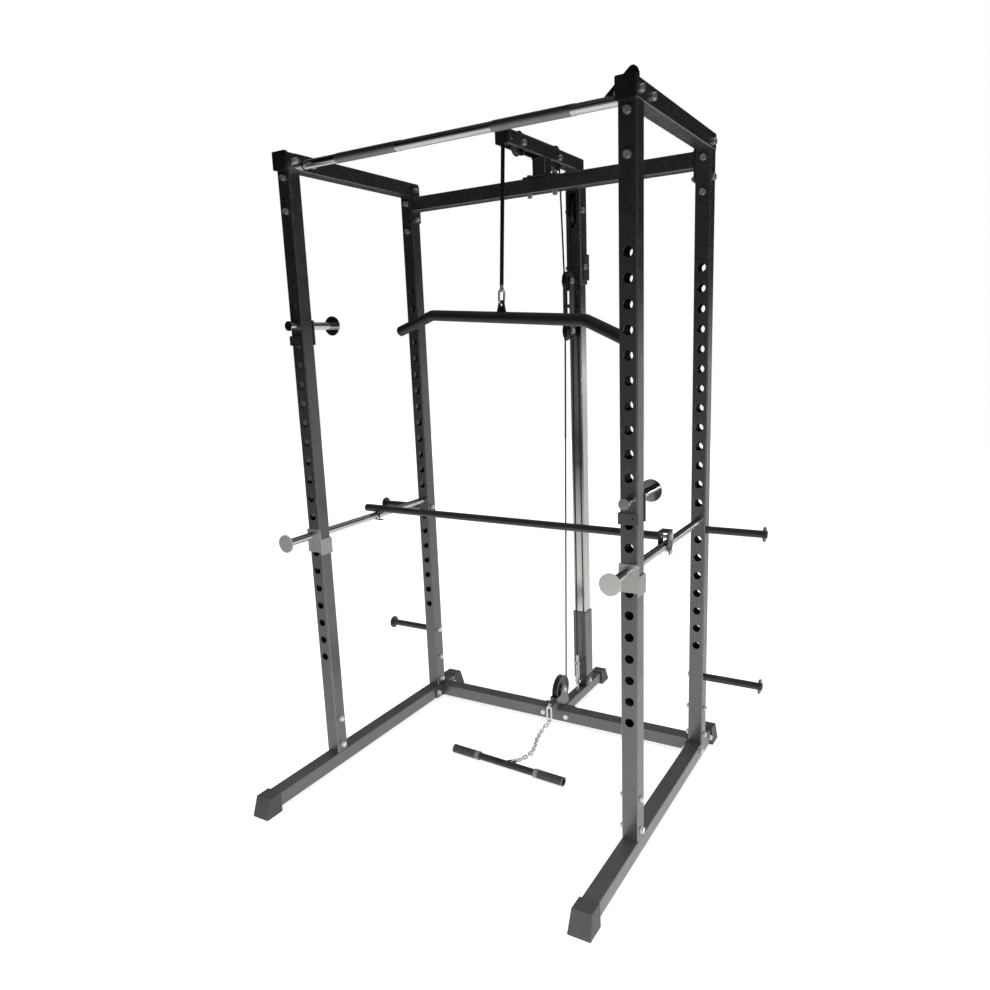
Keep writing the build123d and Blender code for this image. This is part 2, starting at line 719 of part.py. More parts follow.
def cable(name, wheels):
    """Cable over a row of wheels; the first and last have no radius and are its ends."""
    spans = [tangent(a, b) for a, b in zip(wheels, wheels[1:])]
    with BuildPart() as body:
        with BuildLine(Plane.YZ) as route:
            for i, (leave, meet) in enumerate(spans):
                Line(leave, meet)
                if i + 1 < len(spans):
                    y, z, radius, turn = wheels[i + 1]
                    start = atan2(meet[1] - z, meet[0] - y)
                    after = spans[i + 1][0]
                    sweep_angle = turn * ((turn * (atan2(after[1] - z, after[0] - y) - start)) % (2 * pi))
                    middle = start + sweep_angle / 2
                    ThreePointArc(meet, (y + radius * cos(middle), z + radius * sin(middle)), after)
        begin = (0, *spans[0][0])
        along = (0, spans[0][1][0] - spans[0][0][0], spans[0][1][1] - spans[0][0][1])
        with BuildSketch(Plane(origin=begin, z_dir=along)):
            Circle(cable_radius)
        sweep(path=route.wire())
    length = route.wire().length
    print(name, "length", round(length, 1), "volume ratio",
          round(body.part.volume / (pi * cable_radius**2 * length), 4))
    finish(body.part, name)


lat_cable_y = nose_wheel[0] - roller_path
sleeve_top = arm_low - 1.5
carriage_cable_y = top_wheel[0] + large_path
carriage_height = 278.0
carriage_low = bumper_low + bumper_height
carriage_top = carriage_low + carriage_height
ferrule_height = 18.0
anchor_y = block_low_wheel[0] + 23.0
anchor_top = 206.0
end_gap = 0.3
cable(
    "high_cable",
    (
        (lat_cable_y, sleeve_top + end_gap, 0, 1),
        (*nose_wheel, roller_path, -1),
        (*front_wheel, front_path, -1),
        (*rear_wheel, rear_path, -1),
        (*block_top_wheel, block_path, 1),
        (*top_wheel, large_path, -1),
        (carriage_cable_y, carriage_top + ferrule_height + end_gap, 0, 1),
    ),
)
cable(
    "low_cable",
    (
        (keeper_y - bracket_plate / 2, keeper_z, 0, 1),
        (*low_wheel, large_path, 1),
        (*block_low_wheel, block_path, -1),
        (anchor_y, anchor_top + end_gap, 0, 1),
    ),
)


# ================================================================ small hardware
def eye(plane, major, minor):
    with Locations(plane):
        Torus(major, minor)


def loop(plane, length, width, wire):
    """Closed link of round wire; length and width are between the wire's centres."""
    straight = (length - width) / 2
    bend = width / 2
    with BuildLine(plane) as route:
        Line((-straight, bend), (straight, bend))
        ThreePointArc((straight, bend), (straight + bend, 0), (straight, -bend))
        Line((straight, -bend), (-straight, -bend))
        ThreePointArc((-straight, -bend), (-straight - bend, 0), (-straight, bend))
    with BuildSketch(Plane(origin=plane.from_local_coords((0, bend, 0)), z_dir=plane.x_dir)) as section:
        Circle(wire)
    sweep(section.sketch, path=route.wire())


def hanging_eye(x, y, z):
    """Plane for an eye or a loop that faces the front, its first axis up."""
    return Plane(origin=(x, y, z), x_dir=(0, 0, 1), z_dir=(0, 1, 0))


def hanging_loop(x, y, z):
    """Plane for an eye or a loop that faces the side, its first axis up."""
    return Plane(origin=(x, y, z), x_dir=(0, 0, 1), z_dir=(1, 0, 0))


hook_wire = 3.0
hook_width = 20.0
hook_play = 0.3
ferrule_radius = 5.0
eye_wire = 2.5
eye_radius = 7.5

# Anchor of the low cable: crimped eye, snap hook and an eye bolt in the tower base.
anchor_ferrule = 30.0
anchor_hook_length = 74.0
anchor_bolt_eye = 9.0
anchor_bolt_wire = 3.0
anchor_eye_z = anchor_top - anchor_ferrule - eye_radius
anchor_hook_top = anchor_eye_z - eye_radius + eye_wire + hook_wire + hook_play
anchor_hook_low = anchor_hook_top - anchor_hook_length
anchor_bolt_z = anchor_hook_low + hook_wire + anchor_bolt_wire + hook_play - anchor_bolt_eye
with BuildPart() as cable_anchor:
    rod((0, anchor_y, anchor_top), (0, anchor_y, anchor_top - anchor_ferrule), ferrule_radius)
    eye(hanging_eye(0, anchor_y, anchor_eye_z), eye_radius, eye_wire)
    middle = (anchor_hook_top + anchor_hook_low) / 2
    loop(hanging_loop(0, anchor_y, middle), anchor_hook_length, hook_width, hook_wire)
    eye(hanging_eye(0, anchor_y, anchor_bolt_z), anchor_bolt_eye, anchor_bolt_wire)
    stem_top = anchor_bolt_z - anchor_bolt_eye
    rod((0, anchor_y, guide_bottom), (0, anchor_y, stem_top), anchor_bolt_wire)
    washer((0, anchor_y, guide_bottom), (0, 0, 1))
finish(cable_anchor.part, "cable_anchor")

# ---------------------------------------------------------------- weight carriage
carriage_play = 0.4
lug_width = 16.0
lug_height = 40.0
socket_radius = 13.2
socket_wall = 4.0
socket_length = 30.0
socket_z = carriage_low + 190.0
with BuildPart() as weight_carriage:
    rear = tower_y + post_tube / 2
    with BuildSketch(facing_up(0, tower_y, carriage_low)):
        RectangleRounded(post_tube, post_tube, tube_corner)
    extrude(amount=carriage_height)
    low = (-lug_width / 2, rear - 1.0, carriage_top - lug_height)
    block(low, (lug_width / 2, carriage_cable_y + ferrule_radius, carriage_top))
    crimp = (0, carriage_cable_y, carriage_top)
    rod(crimp, moved(crimp, (0, 0, 1), ferrule_height), ferrule_radius)
    socket_y = rear + socket_radius + socket_wall / 2
    left = (-socket_length / 2, socket_y, socket_z)
    right = (socket_length / 2, socket_y, socket_z)
    rod(left, right, socket_radius + socket_wall)
    drill(left, right, socket_radius)
    with BuildSketch(facing_up(0, tower_y, carriage_low)):
        inner = tube + 2 * carriage_play
        RectangleRounded(inner, inner, tube_corner)
    extrude(amount=carriage_height, mode=Mode.SUBTRACT)
finish(weight_carriage.part, "weight_carriage")

# ---------------------------------------------------------------- lat bar
# The handle hangs a little off plumb, and its bar is turned on the hook.
lat_bar_radius = 19.0
lat_bar_wall = 2.5
lat_bar_straight = 736.0
lat_bar_end = 205.0
lat_bar_droop = 18.0
lat_bar_tilt = 1.3
lat_bar_bend = 60.0
lat_bar_z = cage_top - 526.0
lat_tab_half = 25.0
lat_tab_plate = 6.0
lat_tab_hole = 7.0
lat_tab_crown = 13.0
lat_tab_hole_z = lat_bar_z + 43.0
lat_lean = 3.0
lat_turn = -17.0
lat_plumb_axis = Axis((0, lat_cable_y, 0), (0, 0, 1))
lat_lean_axis = Axis((0, lat_cable_y, sleeve_top), (0, 1, 0))
sleeve_radius = 6.5
lat_ferrule = 7.0
lat_ferrule_radius = 5.5
lat_eye = 6.5
lat_hook_seat = 1.2
lat_hook_low = lat_tab_hole_z + lat_tab_hole - hook_wire - lat_hook_seat
lat_hook_length = 44.0
lat_hook_width = 23.0
lat_hook_top = lat_hook_low + lat_hook_length
lat_eye_z = lat_hook_top - hook_wire - eye_wire - hook_play + lat_eye
sleeve_low = lat_eye_z + lat_eye + lat_ferrule


def hung(part, name):
    """Turn a piece of the lat handle about its cable, lean it, and export it."""
    finish(part.rotate(lat_plumb_axis, lat_turn).rotate(lat_lean_axis, lat_lean), name)


with BuildPart() as lat_cable_sleeve:
    rod((0, lat_cable_y, sleeve_top), (0, lat_cable_y, sleeve_low), sleeve_radius)
hung(lat_cable_sleeve.part, "lat_cable_sleeve")

with BuildPart() as lat_snap_hook:
    rod((0, lat_cable_y, sleeve_low), (0, lat_cable_y, sleeve_low - lat_ferrule), lat_ferrule_radius)
    eye(hanging_eye(0, lat_cable_y, lat_eye_z), lat_eye, eye_wire)
    middle = (lat_hook_low + lat_hook_top) / 2
    loop(hanging_loop(0, lat_cable_y, middle), lat_hook_length, lat_hook_width, hook_wire)
hung(lat_snap_hook.part, "lat_snap_hook")


def tilted(x, z):
    """Point of the lat bar's own plane, turned about its middle."""
    angle = radians(lat_bar_tilt)
    return (x * cos(angle) + z * sin(angle), lat_bar_z - x * sin(angle) + z * cos(angle))


with BuildPart() as lat_bar:
    half = lat_bar_straight / 2
    reach = half + lat_bar_end * cos(radians(lat_bar_droop))
    drop = -lat_bar_end * sin(radians(lat_bar_droop))
    corners = [tilted(-reach, drop), tilted(-half, 0), tilted(half, 0), tilted(reach, drop)]
    with BuildLine(facing_front(0, lat_cable_y, 0)) as lat_route:
        FilletPolyline(*corners, radius=lat_bar_bend)
    start = lat_route.wire() @ 0
    heading = lat_route.wire() % 0
    with BuildSketch(Plane(origin=start, z_dir=heading)):
        Circle(lat_bar_radius)
    sweep(path=lat_route.wire())
    with BuildSketch(facing_front(0, lat_cable_y + lat_tab_plate / 2, 0)):
        with BuildLine():
            Polyline(
                (-lat_tab_half, lat_bar_z),
                (lat_tab_half, lat_bar_z),
                (lat_tab_crown, lat_tab_hole_z),
                (-lat_tab_crown, lat_tab_hole_z),
                close=True,
            )
        make_face()
        with Locations((0, lat_tab_hole_z)):
            Circle(lat_tab_crown)
    extrude(amount=lat_tab_plate)
    drill((0, lat_cable_y - tube, lat_tab_hole_z), (0, lat_cable_y + tube, lat_tab_hole_z), lat_tab_hole)
    with BuildSketch(Plane(origin=start, z_dir=heading)):
        Circle(lat_bar_radius - lat_bar_wall)
    sweep(path=lat_route.wire(), mode=Mode.SUBTRACT)
hung(lat_bar.part, "lat_bar")

# ---------------------------------------------------------------- low handle
stopper_radius = 10.0
stopper_length = 28.0
stopper_rear = keeper_y - bracket_plate - end_gap
stopper_front = stopper_rear - stopper_length
low_eye_radius = 8.0
low_stem = 4.0
low_hook_wire = 2.5
low_hook_width = 18.5
low_hook_length = 62.0
low_hook_y = stopper_front - low_stem - low_eye_radius
low_hook_top = keeper_z - low_eye_radius + eye_wire + low_hook_wire + hook_play
low_hook_low = low_hook_top - low_hook_length
with BuildPart() as low_cable_stopper:
    rod((0, stopper_rear, keeper_z), (0, stopper_front, keeper_z), stopper_radius)
finish(low_cable_stopper.part, "low_cable_stopper")

with BuildPart() as low_snap_hook:
    rod((0, stopper_front, keeper_z), (0, stopper_front - low_stem, keeper_z), ferrule_radius)
    eye(hanging_loop(0, low_hook_y, keeper_z), low_eye_radius, eye_wire)
    middle = (low_hook_top + low_hook_low) / 2
    loop(hanging_eye(0, low_hook_y, middle), low_hook_length, low_hook_width, low_hook_wire)
finish(low_snap_hook.part, "low_snap_hook")

low_bar_radius = 12.5
low_bar_wall = 2.5
low_bar_length = 464.0
low_bar_yaw = -3.5
low_bar_x = -2.0
low_bar_y = front_y + 278.0
low_grip_wall = 3.0
low_grip_length = 116.0
low_tab_offset = 6.0
low_tab_reach = 22.0
low_tab_hole = 6.5
low_tab_plate = 3.0
low_bar_z = low_bar_radius + low_grip_wall
yaw = radians(low_bar_yaw)
bar_along = (cos(yaw), sin(yaw), 0)
bar_across = (-sin(yaw), cos(yaw), 0)
bar_middle = (low_bar_x, low_bar_y, low_bar_z)
tab_root = moved(bar_middle, bar_along, low_tab_offset)
tab_hole = moved(tab_root, bar_across, low_tab_reach)

# Chain from the low hook, along the floor, to the low bar's tab. Links lie on their
# edges at both ends and at 45 degrees between them.
link_wire = 2.25
link_width = 12.5
link_play = 2 * hook_play
link_count = 19
link_roll = 45.0
turning_links = 3
tab_play = 0.7
floor_z = link_width / 2 * sin(radians(link_roll)) + link_wire + 0.6
hook_bottom = Vector(0, low_hook_y, low_hook_low)
tab_centre = Vector(*tab_hole)
chain_bends = [
    Vector(-7, front_y + 600, floor_z + 8.0),
    Vector(-10, front_y + 574, floor_z + 1.5),
    Vector(-4, front_y + 540, floor_z),
    Vector(7, front_y + 492, floor_z),
    Vector(25, front_y + 442, floor_z),
    Vector(33, front_y + 405, floor_z),
    Vector(29, front_y + 362, floor_z),
    Vector(18, front_y + 330, floor_z + 2.5),
]
chain_start = hook_bottom - (chain_bends[0] - hook_bottom).normalized() * low_hook_wire
chain_end = tab_centre + (chain_bends[-1] - tab_centre).normalized() * (low_tab_hole - tab_play)
chain_route = [chain_start] + chain_bends + [chain_end]


def along_route(points, distance):
    """Point at a distance along straight runs, past the last one if need be."""
    for i, (a, b) in enumerate(zip(points, points[1:])):
        run = b - a
        if distance <= run.length or i == len(points) - 2:
            return a + run.normalized() * distance
        distance -= run.length


link_step = sum((b - a).length for a, b in zip(chain_route, chain_route[1:])) / link_count
link_length = link_step + link_play + 2 * link_wire
with BuildPart() as pull_chain:
    for i in range(link_count):
        a = along_route(chain_route, i * link_step)
        b = along_route(chain_route, (i + 1) * link_step)
        from_end = min(i, link_count - 1 - i)
        turn = link_roll + 90 * i
        if from_end < turning_links:
            turn += link_roll * (1 - from_end / turning_links)
        level = Vector(b.Y - a.Y, a.X - b.X, 0).normalized()
        normal = level.cross(b - a).normalized() * cos(radians(turn)) + level * sin(radians(turn))
        loop(Plane(origin=(a + b) / 2, x_dir=b - a, z_dir=normal), link_length, link_width, link_wire)
finish(pull_chain.part, "pull_chain")

low_bar_half = low_bar_length / 2
low_bar_left = moved(bar_middle, bar_along, -low_bar_half)
low_bar_right = moved(bar_middle, bar_along, low_bar_half)
with BuildPart() as low_bar:
    rod(low_bar_left, low_bar_right, low_bar_radius)
    tab_plane = Plane(
        origin=moved(tab_root, (0, 0, 1), -low_tab_plate / 2), x_dir=bar_along, z_dir=(0, 0, 1)
    )
    outline = ((-32, 2), (32, 2), (11, low_tab_reach + 11), (-11, low_tab_reach + 11))
    slab(tab_plane, outline, low_tab_plate, corner=3.0)
    above = moved(tab_hole, (0, 0, 1), tube)
    drill(moved(tab_hole, (0, 0, 1), -tube), above, low_tab_hole)
    drill(low_bar_left, low_bar_right, low_bar_radius - low_bar_wall)
finish(low_bar.part, "low_bar")

with BuildPart() as low_bar_grips:
    for sign in (-1, 1):
        outer = moved(bar_middle, bar_along, sign * low_bar_half)
        inner = moved(outer, bar_along, -sign * low_grip_length)
        rod(inner, outer, low_bar_radius + low_grip_wall)
        drill(inner, outer, low_bar_radius)
finish(low_bar_grips.part, "low_bar_grips")


# ================================================================ bar catches
rod_radius = 12.5
bracket_play = 0.5
bracket = 4.0
bracket_half = 28.0
catch_front = 36.0
catch_cap_radius = 15.5
catch_cap = 6.0
catch_rear = 172.0
catch_disc_radius = 32.5
catch_disc = 5.0
catch_plate_top = 17.0
catch_plate_low = 62.0
catch_band_top = 31.0
catch_pin_x = 13.0
catch_pin_z = 44.0
catch_pin_radius = 3.5
catch_holes = (("left", -1, 2), ("right", 1, 10))
band_front = front_y - bracket_play - bracket
plate_rear = front_y + tube + bracket_play + bracket
wrap_x = tube / 2 + bracket_play

for side, sign, index in catch_holes:
    x = sign * column_x
    z = lowest_hole + hole_pitch * (hole_count - 1 - index)
    with BuildPart() as catch_rod:
        rod((x, front_y - catch_front, z), (x, front_y + catch_rear, z), rod_radius)
        rod((x, front_y - catch_front, z), (x, front_y - catch_front + catch_cap, z), catch_cap_radius)
        disc = (x, front_y + catch_rear, z)
        rod(disc, moved(disc, (0, 1, 0), catch_disc), catch_disc_radius)
        fillet(catch_rod.edges().filter_by(GeomType.CIRCLE).sort_by(Axis.Y)[-1], 1.5)
    finish(catch_rod.part, f"catch_rod_{side}")

    with BuildPart() as catch_bracket:
        inner_face = front_y + tube + bracket_play
        block(
            (x - wrap_x - bracket, inner_face, z - catch_plate_low),
            (x + bracket_half, plate_rear, z + catch_plate_top),
        )
        block(
            (x - wrap_x - bracket, band_front, z - catch_plate_low),
            (x - wrap_x, plate_rear, z - catch_band_top),
        )
        block(
            (x - wrap_x - bracket, band_front, z - catch_plate_low),
            (x + bracket_half, band_front + bracket, z - catch_band_top),
        )
        drill((x, front_y, z), (x, front_y + 2 * tube, z), rod_radius)
        pin = (x + catch_pin_x, front_y, z - catch_pin_z)
        drill(pin, moved(pin, (0, -1, 0), tube), catch_pin_radius)
    finish(catch_bracket.part, f"catch_bracket_{side}")

# ================================================================ safety bars
safety_index = 13
safety_z = lowest_hole + hole_pitch * (hole_count - 1 - safety_index)
safety_front = 132.0
safety_disc_radius = 30.0
safety_disc = 6.0
safety_plate_top = 20.0
safety_plate_low = 60.0
safety_flange_top = 15.0
safety_flange_low = 70.0
safety_flange_rear = 52.0

for side, sign in sides:
    x = sign * column_x
    with BuildPart() as safety_bar:
        front = (x, front_y - safety_front, safety_z)
        rod(front, (x, rear_y + tube, safety_z), rod_radius)
        rod(moved(front, (0, -1, 0), safety_disc), front, safety_disc_radius)
        fillet(safety_bar.edges().filter_by(GeomType.CIRCLE).sort_by(Axis.Y)[0], 1.5)
    finish(safety_bar.part, f"safety_bar_{side}")

    with BuildPart() as safety_bracket:
        block(
            (x - bracket_half, band_front, safety_z - safety_plate_low),
            (x + wrap_x + bracket, band_front + bracket, safety_z + safety_plate_top),
        )
        block(
            (x + wrap_x, band_front, safety_z - safety_flange_low),
            (x + wrap_x + bracket, front_y + safety_flange_rear, safety_z - safety_flange_top),
        )
        drill((x, front_y - tube, safety_z), (x, front_y + tube, safety_z), rod_radius)
    finish(safety_bracket.part, f"safety_bracket_{side}")

# ================================================================ hold-down bar
# It lies a little askew on the safety bars: a sleeve and a hook at the left end, a
# channel with a cross pin under the safety bar at the right one.
hold_radius = 12.5
hold_sleeve_radius = 14.0
hold_sleeve_half = 43.0
hold_left_y = front_y + 338.0
hold_right_y = front_y + 303.0
hold_z = safety_z + rod_radius + hold_sleeve_radius + slip
channel_half = 16.0
channel_wall = 3.0
channel_length = 43.0
channel_top = 46.0
channel_low = 8.0
channel_tip = 31.0
cross_pin_radius = 4.0
cross_pin_drop = rod_radius + cross_pin_radius + bracket_play
cross_pin_grip = 9.0
cross_pin_head = 5.0
clip_wire = 1.5
hold_hook_wire = 2.5
hold_hook_foot = 16.0
hold_left = (-column_x, hold_left_y, hold_z)
hold_right = (column_x, hold_right_y, hold_z)
hold_along = tuple((Vector(*hold_right) - Vector(*hold_left)).normalized())
hold_end = moved(hold_right, hold_along, -channel_half - bracket_play)
hold_bolt = channel_half + peg_thread
with BuildPart() as hold_down_bar:
    rod(moved(hold_left, hold_along, -hold_sleeve_half), hold_end, hold_radius)
    sleeve_start = moved(hold_left, hold_along, -hold_sleeve_half)
    rod(sleeve_start, moved(hold_left, hold_along, hold_sleeve_half), hold_sleeve_radius)
    drill(hold_right, moved(hold_right, (-1, 0, 0), hold_bolt + bolt_tail), bolt_radius + nut_play)
finish(hold_down_bar.part, "hold_down_bar")

pin_z = safety_z - cross_pin_drop
with BuildPart() as hold_down_fittings:
    front = hold_right_y - channel_length / 2
    rear = hold_right_y + channel_length / 2
    ceiling = safety_z + channel_top
    opening = channel_half - channel_wall
    walls = (
        (front, ceiling),
        (rear, ceiling),
        (rear, safety_z - channel_low),
        (hold_right_y, safety_z - channel_tip),
        (front, safety_z - channel_low),
    )
    slab(facing_right(column_x - channel_half, 0, 0), walls, 2 * channel_half)
    low = (column_x - opening, front - 1.0, safety_z - tube)
    block(low, (column_x + opening, rear + 1.0, ceiling - channel_wall), Mode.SUBTRACT)
    drill((inner_x, hold_right_y, hold_z), (outer_x, hold_right_y, hold_z), bolt_hole)
    pin_hole = cross_pin_radius + nut_play
    drill((inner_x, hold_right_y, pin_z), (outer_x, hold_right_y, pin_z), pin_hole)
    leg_x = -column_x + rod_radius + hold_hook_wire + bracket_play
    foot_z = safety_z - rod_radius - hold_hook_wire - bracket_play
    leg_y = hold_left_y
    leg_top = hold_z - hold_sleeve_radius
    rod((leg_x, leg_y, leg_top), (leg_x, leg_y, foot_z - hold_hook_wire), hold_hook_wire)
    rod((leg_x - 2 * hold_hook_foot, leg_y, foot_z), (leg_x + hold_hook_foot, leg_y, foot_z), hold_hook_wire)
finish(hold_down_fittings.part, "hold_down_fittings")

with BuildPart() as hold_down_pins:
    outer = moved(hold_right, (1, 0, 0), channel_half)
    rod(outer, moved(hold_right, (-1, 0, 0), hold_bolt), bolt_radius)
    hexagon(outer, (1, 0, 0), head_height)
    knob = (column_x + channel_half, hold_right_y, pin_z)
    pin_end = moved(knob, (-1, 0, 0), 2 * channel_half + cross_pin_grip)
    rod(moved(knob, (1, 0, 0), cross_pin_head), pin_end, cross_pin_radius)
    rod(knob, moved(knob, (1, 0, 0), cross_pin_head), 2 * cross_pin_radius)
    clip = moved(pin_end, (1, 0, 0), cross_pin_grip / 2)
    rod(clip, moved(clip, (-0.4, -0.4, -0.8), 4 * cross_pin_radius), clip_wire)
finish(hold_down_pins.part, "hold_down_pins")

# ================================================================ fasteners
with BuildPart() as frame_bolts:
    for head, direction, grip in bolted_joints:
        seat = moved(head, direction, -washer_thickness)
        length = grip + 2 * washer_thickness + nut_height + bolt_tail
        rod(seat, moved(seat, direction, length), bolt_radius)
        hexagon(seat, opposite(direction), head_height)
    for head, direction in peg_fixings:
        seat = moved(head, direction, -washer_thickness)
        rod(seat, moved(seat, direction, washer_thickness + tube + peg_thread), bolt_radius)
        hexagon(seat, opposite(direction), head_height)
finish(frame_bolts.part, "frame_bolts")

with BuildPart() as frame_nuts:
    for head, direction, grip in bolted_joints:
        seat = moved(head, direction, grip + washer_thickness)
        hexagon(seat, direction, nut_height, bolt_radius + nut_play)
finish(frame_nuts.part, "frame_nuts")

with BuildPart() as frame_washers:
    for head, direction, grip in bolted_joints:
        washer(head, opposite(direction))
        washer(moved(head, direction, grip), direction)
    for head, direction in peg_fixings:
        washer(head, opposite(direction))
finish(frame_washers.part, "frame_washers")
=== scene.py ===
import math

import bmesh
import bpy
import numpy as np
from mathutils import Matrix, Vector


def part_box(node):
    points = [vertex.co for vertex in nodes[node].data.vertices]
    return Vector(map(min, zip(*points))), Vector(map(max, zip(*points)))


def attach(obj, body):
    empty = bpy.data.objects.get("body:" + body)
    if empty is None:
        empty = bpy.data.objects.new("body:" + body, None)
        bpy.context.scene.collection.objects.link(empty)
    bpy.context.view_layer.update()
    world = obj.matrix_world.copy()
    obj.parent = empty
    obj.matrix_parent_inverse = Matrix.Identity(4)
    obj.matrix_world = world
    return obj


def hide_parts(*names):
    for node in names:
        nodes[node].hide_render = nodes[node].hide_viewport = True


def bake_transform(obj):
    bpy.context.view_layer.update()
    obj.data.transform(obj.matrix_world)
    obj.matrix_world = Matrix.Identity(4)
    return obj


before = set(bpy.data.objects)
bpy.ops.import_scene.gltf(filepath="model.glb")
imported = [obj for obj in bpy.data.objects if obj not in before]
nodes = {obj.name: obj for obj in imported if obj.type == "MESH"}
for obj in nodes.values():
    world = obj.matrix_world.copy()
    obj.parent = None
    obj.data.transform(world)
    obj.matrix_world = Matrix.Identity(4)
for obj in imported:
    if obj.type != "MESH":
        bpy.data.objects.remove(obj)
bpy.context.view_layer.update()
scene = bpy.context.scene
X, Y, Z = Vector((1, 0, 0)), Vector((0, 1, 0)), Vector((0, 0, 1))


# ------------------------------------------------------------------ sizes, in metres
def middle(name):
    low, high = (Vector(c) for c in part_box(name))
    return (low + high) / 2


# Half widths of the frame's tubes, of the space inside them where shade is painted, and of the
# tower's tubes.
tube_half = 0.025
bore_half = 0.0244
post_half = 0.030
base_half = 0.020
# Height of the tower base's middle, width of the lat arm, and thickness of the end plates.
base_height = 0.032
arm_tube = 0.046
plate = 0.005
# The cross beams are measured within this distance of the middle, clear of their end plates.
core_reach = 0.53
column_x = middle("upright_front_right").x
column_ys = [middle(name).y for name in ("upright_front_left", "upright_rear_left")]

# The pull-up bar, its knurled grips, and where its painted gusset begins.
pull_up_radius = 0.014
pull_axis = Vector((0, middle("pull_up_bar").y, 2.07))
knurl_zones = (-0.404, -0.173), (0.152, 0.391)
knurl_pitch = 0.0031
knurl_wraps = 28.0
gusset_x = 0.4
gusset_rise = 0.0148

# Where the chrome turns dull: behind the safety bars' front discs, and under the carriage.
safety_disc_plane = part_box("safety_bar_right")[0][1] + 0.0055
carriage_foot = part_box("weight_carriage")[0][2] - 0.001

# How far plating, cable coats and grip bands stand proud of the solids.
skin = 0.0006
# Weld beads: their thickness, their distance from the tube, and the length of step and ripple.
weld_radius = 0.0022
weld_stand = 0.0005
weld_step = 0.0016
ripple_length = 0.0042
# The low bar's bands and rings: widths, distance from the tip, rounded edge, depth under skin.
band_width = 0.016
ring_width = 0.003
ring_inset = 0.004
rim = 0.0005
sunk = 0.002


# ------------------------------------------------------------------ camera
def add_camera():
    """The photograph's viewpoint, from straight lines of the frame."""
    yaw, pitch, roll = math.radians(31.4303), math.radians(11.8726), math.radians(-2.4057)
    place = Vector((1.31256, -2.34809, 1.48643))
    ahead = Vector(
        (-math.sin(yaw) * math.cos(pitch), math.cos(yaw) * math.cos(pitch), -math.sin(pitch))
    )
    level = Vector((math.cos(yaw), math.sin(yaw), 0))
    upright = level.cross(ahead)
    right = math.cos(roll) * level + math.sin(roll) * upright
    up = math.cos(roll) * upright - math.sin(roll) * level
    data = bpy.data.cameras.new("camera")
    data.sensor_width = 36.0
    data.lens = 28.763
    data.shift_x = 0.0104
    data.shift_y = 0.0170
    data.clip_end = 60
    camera = bpy.data.objects.new("camera", data)
    turn = Matrix((right, up, -ahead)).transposed().to_4x4()
    camera.matrix_world = Matrix.Translation(place) @ turn
    scene.collection.objects.link(camera)
    scene.camera = camera


add_camera()
scene.view_settings.view_transform = "Standard"


# ------------------------------------------------------------------ node trees
class Tree:
    """Short way to write a node tree. A value is a socket, a number or a colour."""

    def __init__(self, tree):
        self.tree = tree

    def add(self, kind, **settings):
        node = self.tree.nodes.new(kind)
        for key, value in settings.items():
            setattr(node, key, value)
        return node

    def link(self, a, b):
        self.tree.links.new(a, b)

    def feed(self, value, socket):
        if isinstance(value, bpy.types.NodeSocket):
            self.link(value, socket)
        elif socket.type == "RGBA":
            socket.default_value = (*value, 1)
        else:
            socket.default_value = value

    def split(self, vector):
        node = self.add("ShaderNodeSeparateXYZ")
        self.link(vector, node.inputs["Vector"])
        return node.outputs

    def math(self, operation, *values, clamp=False):
        node = self.add("ShaderNodeMath", operation=operation, use_clamp=clamp)
        for value, socket in zip(values, node.inputs):
            self.feed(value, socket)
        return node.outputs["Value"]

    def distance(self, vector, place):
        node = self.add("ShaderNodeVectorMath", operation="DISTANCE")
        self.link(vector, node.inputs[0])
        node.inputs[1].default_value = place
        return node.outputs["Value"]

    def ranged(self, value, from_low, from_high, to_low=0.0, to_high=1.0, kind="LINEAR"):
        node = self.add("ShaderNodeMapRange", interpolation_type=kind)
        self.link(value, node.inputs["Value"])
        node.inputs["From Min"].default_value = from_low
        node.inputs["From Max"].default_value = from_high
        node.inputs["To Min"].default_value = to_low
        node.inputs["To Max"].default_value = to_high
        return node.outputs["Result"]

    def mixed(self, factor, first, second, kind="RGBA"):
        node = self.add("ShaderNodeMix", data_type=kind)
        self.link(factor, node.inputs["Factor"])
        self.feed(first, node.inputs["A"])
        self.feed(second, node.inputs["B"])
        return node.outputs["Result"]

    def ramp(self, value, stops):
        node = self.add("ShaderNodeValToRGB")
        elements = node.color_ramp.elements
        while len(elements) < len(stops):
            elements.new(0.5)
        for element, (at, colour) in zip(elements, stops):
            element.position = at
            if not hasattr(colour, "__len__"):
                colour = (colour, colour, colour)
            element.color = (*colour, 1)
        self.link(value, node.inputs["Fac"])
        return node.outputs["Color"]

    def glow(self, kind, colour, strength):
        node = self.add(kind)
        self.feed(colour, node.inputs["Color"])
        self.feed(strength, node.inputs["Strength"])
        return node.outputs[0]

    def finish(self, kind, seen, lit):
        """Output that the camera sees one way, and that lights everything else another way."""
        mix = self.add("ShaderNodeMixShader")
        self.link(self.add("ShaderNodeLightPath").outputs["Is Camera Ray"], mix.inputs["Fac"])
        self.link(lit, mix.inputs[1])
        self.link(seen, mix.inputs[2])
        self.link(mix.outputs["Shader"], self.add(kind).inputs["Surface"])


